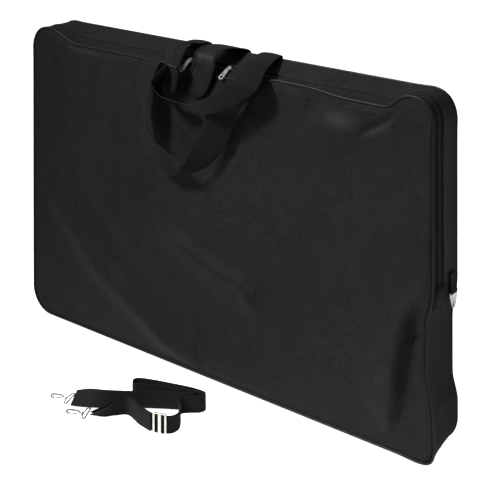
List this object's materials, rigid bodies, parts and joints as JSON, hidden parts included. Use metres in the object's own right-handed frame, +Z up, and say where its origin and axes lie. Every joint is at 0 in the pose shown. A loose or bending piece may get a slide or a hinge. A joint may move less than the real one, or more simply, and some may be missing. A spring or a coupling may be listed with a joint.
{
  "type": "portfolio case",
  "caption": "Large flat zipped carrying case with two webbing handles, a closure flap, side rings and a detachable shoulder strap.",
  "frame": {"origin": "centre of the case's bottom edge face, on the surface that it stands on", "axes": "+X along the case's length, to the right seen from the front; the front faces -Y; +Z up"},
  "size_m": [1.2582, 0.4485, 0.8062],
  "materials": {
    "fabric": "coated plain weave, matt",
    "piping": "smooth, low gloss",
    "webbing": "woven, matt",
    "zip_tape": "woven, matt",
    "zip_coil": "satin",
    "nickel": "nickel plated",
    "hook_tape": "napped"
  },
  "bodies": {
    "case": {"back_panel": "fabric", "front_panel_lower": "fabric", "gusset_lower": "fabric", "gusset_upper": "fabric", "back_piping": "piping", "front_piping_lower": "piping", "zip_tape_rear": "zip_tape", "zip_coil_rear": "zip_coil", "zip_end_tab_left": "zip_tape", "zip_end_tab_right": "zip_tape", "ring_loop_left": "webbing", "ring_loop_right": "webbing"},
    "front_opening_panel": {"front_panel_upper": "fabric", "front_piping_upper": "piping", "zip_tape_front": "zip_tape", "zip_coil_front": "zip_coil", "flap_loop_pad": "hook_tape"},
    "zip_slider_left": {"zip_slider_left": "nickel"},
    "zip_slider_right": {"zip_slider_right": "nickel"},
    "zip_pull_left": {"zip_pull_left": "nickel"},
    "zip_pull_right": {"zip_pull_right": "nickel"},
    "closure_flap": {"closure_flap": "fabric", "closure_flap_binding": "webbing", "flap_hook_pad": "hook_tape"},
    "front_handle": {"front_handle_webbing": "webbing"},
    "back_handle": {"back_handle_webbing": "webbing"},
    "ring_left": {"ring_plate_left": "nickel"},
    "ring_right": {"ring_plate_right": "nickel"},
    "shoulder_strap": {"shoulder_strap_webbing": "webbing", "strap_doubled_end": "webbing", "snap_upper_eye": "nickel", "snap_lower_eye": "nickel"},
    "slide_buckle": {"slide_buckle": "nickel"},
    "snap_hook_upper": {"snap_upper_hook": "nickel"},
    "snap_hook_lower": {"snap_lower_hook": "nickel"},
    "snap_gate_upper": {"snap_upper_gate": "nickel"},
    "snap_gate_lower": {"snap_lower_gate": "nickel"}
  },
  "joints": [
    {"name": "front_opening", "type": "hinge", "parent": "case", "child": "front_opening_panel", "pos_m": [0, -0.055, 0.37], "axis": [1, 0, 0], "range_deg": [0, 110], "deforming": ["closure_flap", "closure_flap_binding", "flap_hook_pad", "back_handle_webbing"]},
    {"name": "left_slider_travel", "type": "slide", "parent": "front_opening_panel", "child": "zip_slider_left", "axis": [-1, 0, 0], "range_m": [-0.02, 0.36]},
    {"name": "right_slider_travel", "type": "slide", "parent": "front_opening_panel", "child": "zip_slider_right", "axis": [1, 0, 0], "range_m": [0, 0.44]},
    {"name": "left_pull_swing", "type": "hinge", "parent": "zip_slider_left", "child": "zip_pull_left", "pos_m": [-0.074, -0.0274, 0.761], "axis": [-1, 0, 0], "range_deg": [0, 145]},
    {"name": "right_pull_swing", "type": "hinge", "parent": "zip_slider_right", "child": "zip_pull_right", "pos_m": [0.052, -0.0274, 0.761], "axis": [-1, 0, 0], "range_deg": [0, 145]},
    {"name": "closure_flap_lift", "type": "hinge", "parent": "case", "child": "closure_flap", "pos_m": [0, 0.058, 0.775], "axis": [-1, 0, 0], "range_deg": [0, 130]},
    {"name": "front_handle_swing", "type": "hinge", "parent": "front_opening_panel", "child": "front_handle", "pos_m": [0, -0.058, 0.752], "axis": [-1, 0, 0], "range_deg": [0, 125]},
    {"name": "back_handle_swing", "type": "hinge", "parent": "case", "child": "back_handle", "pos_m": [0, 0.058, 0.768], "axis": [-1, 0, 0], "range_deg": [0, 95]},
    {"name": "left_ring_swing", "type": "hinge", "parent": "case", "child": "ring_left", "pos_m": [-0.6257, 0.0295, 0.349], "axis": [0, 1, 0], "range_deg": [0, 100]},
    {"name": "right_ring_swing", "type": "hinge", "parent": "case", "child": "ring_right", "pos_m": [0.6257, 0.0295, 0.349], "axis": [0, -1, 0], "range_deg": [0, 100]},
    {"name": "strap_lift", "type": "slide", "parent": "case", "child": "shoulder_strap", "axis": [0, 0, 1], "range_m": [0, 0.15]},
    {"name": "buckle_adjust", "type": "slide", "parent": "shoulder_strap", "child": "slide_buckle", "axis": [-0.9487, -0.3162, 0], "range_m": [-0.01, 0.006]},
    {"name": "upper_hook_swivel", "type": "hinge", "parent": "shoulder_strap", "child": "snap_hook_upper", "pos_m": [-0.19, -0.3375, 0.0085], "axis": [-0.9455, -0.3256, 0], "continuous": true},
    {"name": "upper_gate_press", "type": "hinge", "parent": "snap_hook_upper", "child": "snap_gate_upper", "pos_m": [-0.20213, -0.34527, 0.0085], "axis": [0, 0, -1], "range_deg": [0, 25], "stiffness_Nm_per_rad": 0.02, "springref_deg": -20.05},
    {"name": "lower_hook_swivel", "type": "hinge", "parent": "shoulder_strap", "child": "snap_hook_lower", "pos_m": [-0.112, -0.36, 0.0085], "axis": [-0.8988, -0.4384, 0], "continuous": true},
    {"name": "lower_gate_press", "type": "hinge", "parent": "snap_hook_lower", "child": "snap_gate_lower", "pos_m": [-0.12309, -0.36919, 0.0085], "axis": [0, 0, -1], "range_deg": [0, 25], "stiffness_Nm_per_rad": 0.02, "springref_deg": -20.05}
  ]
}
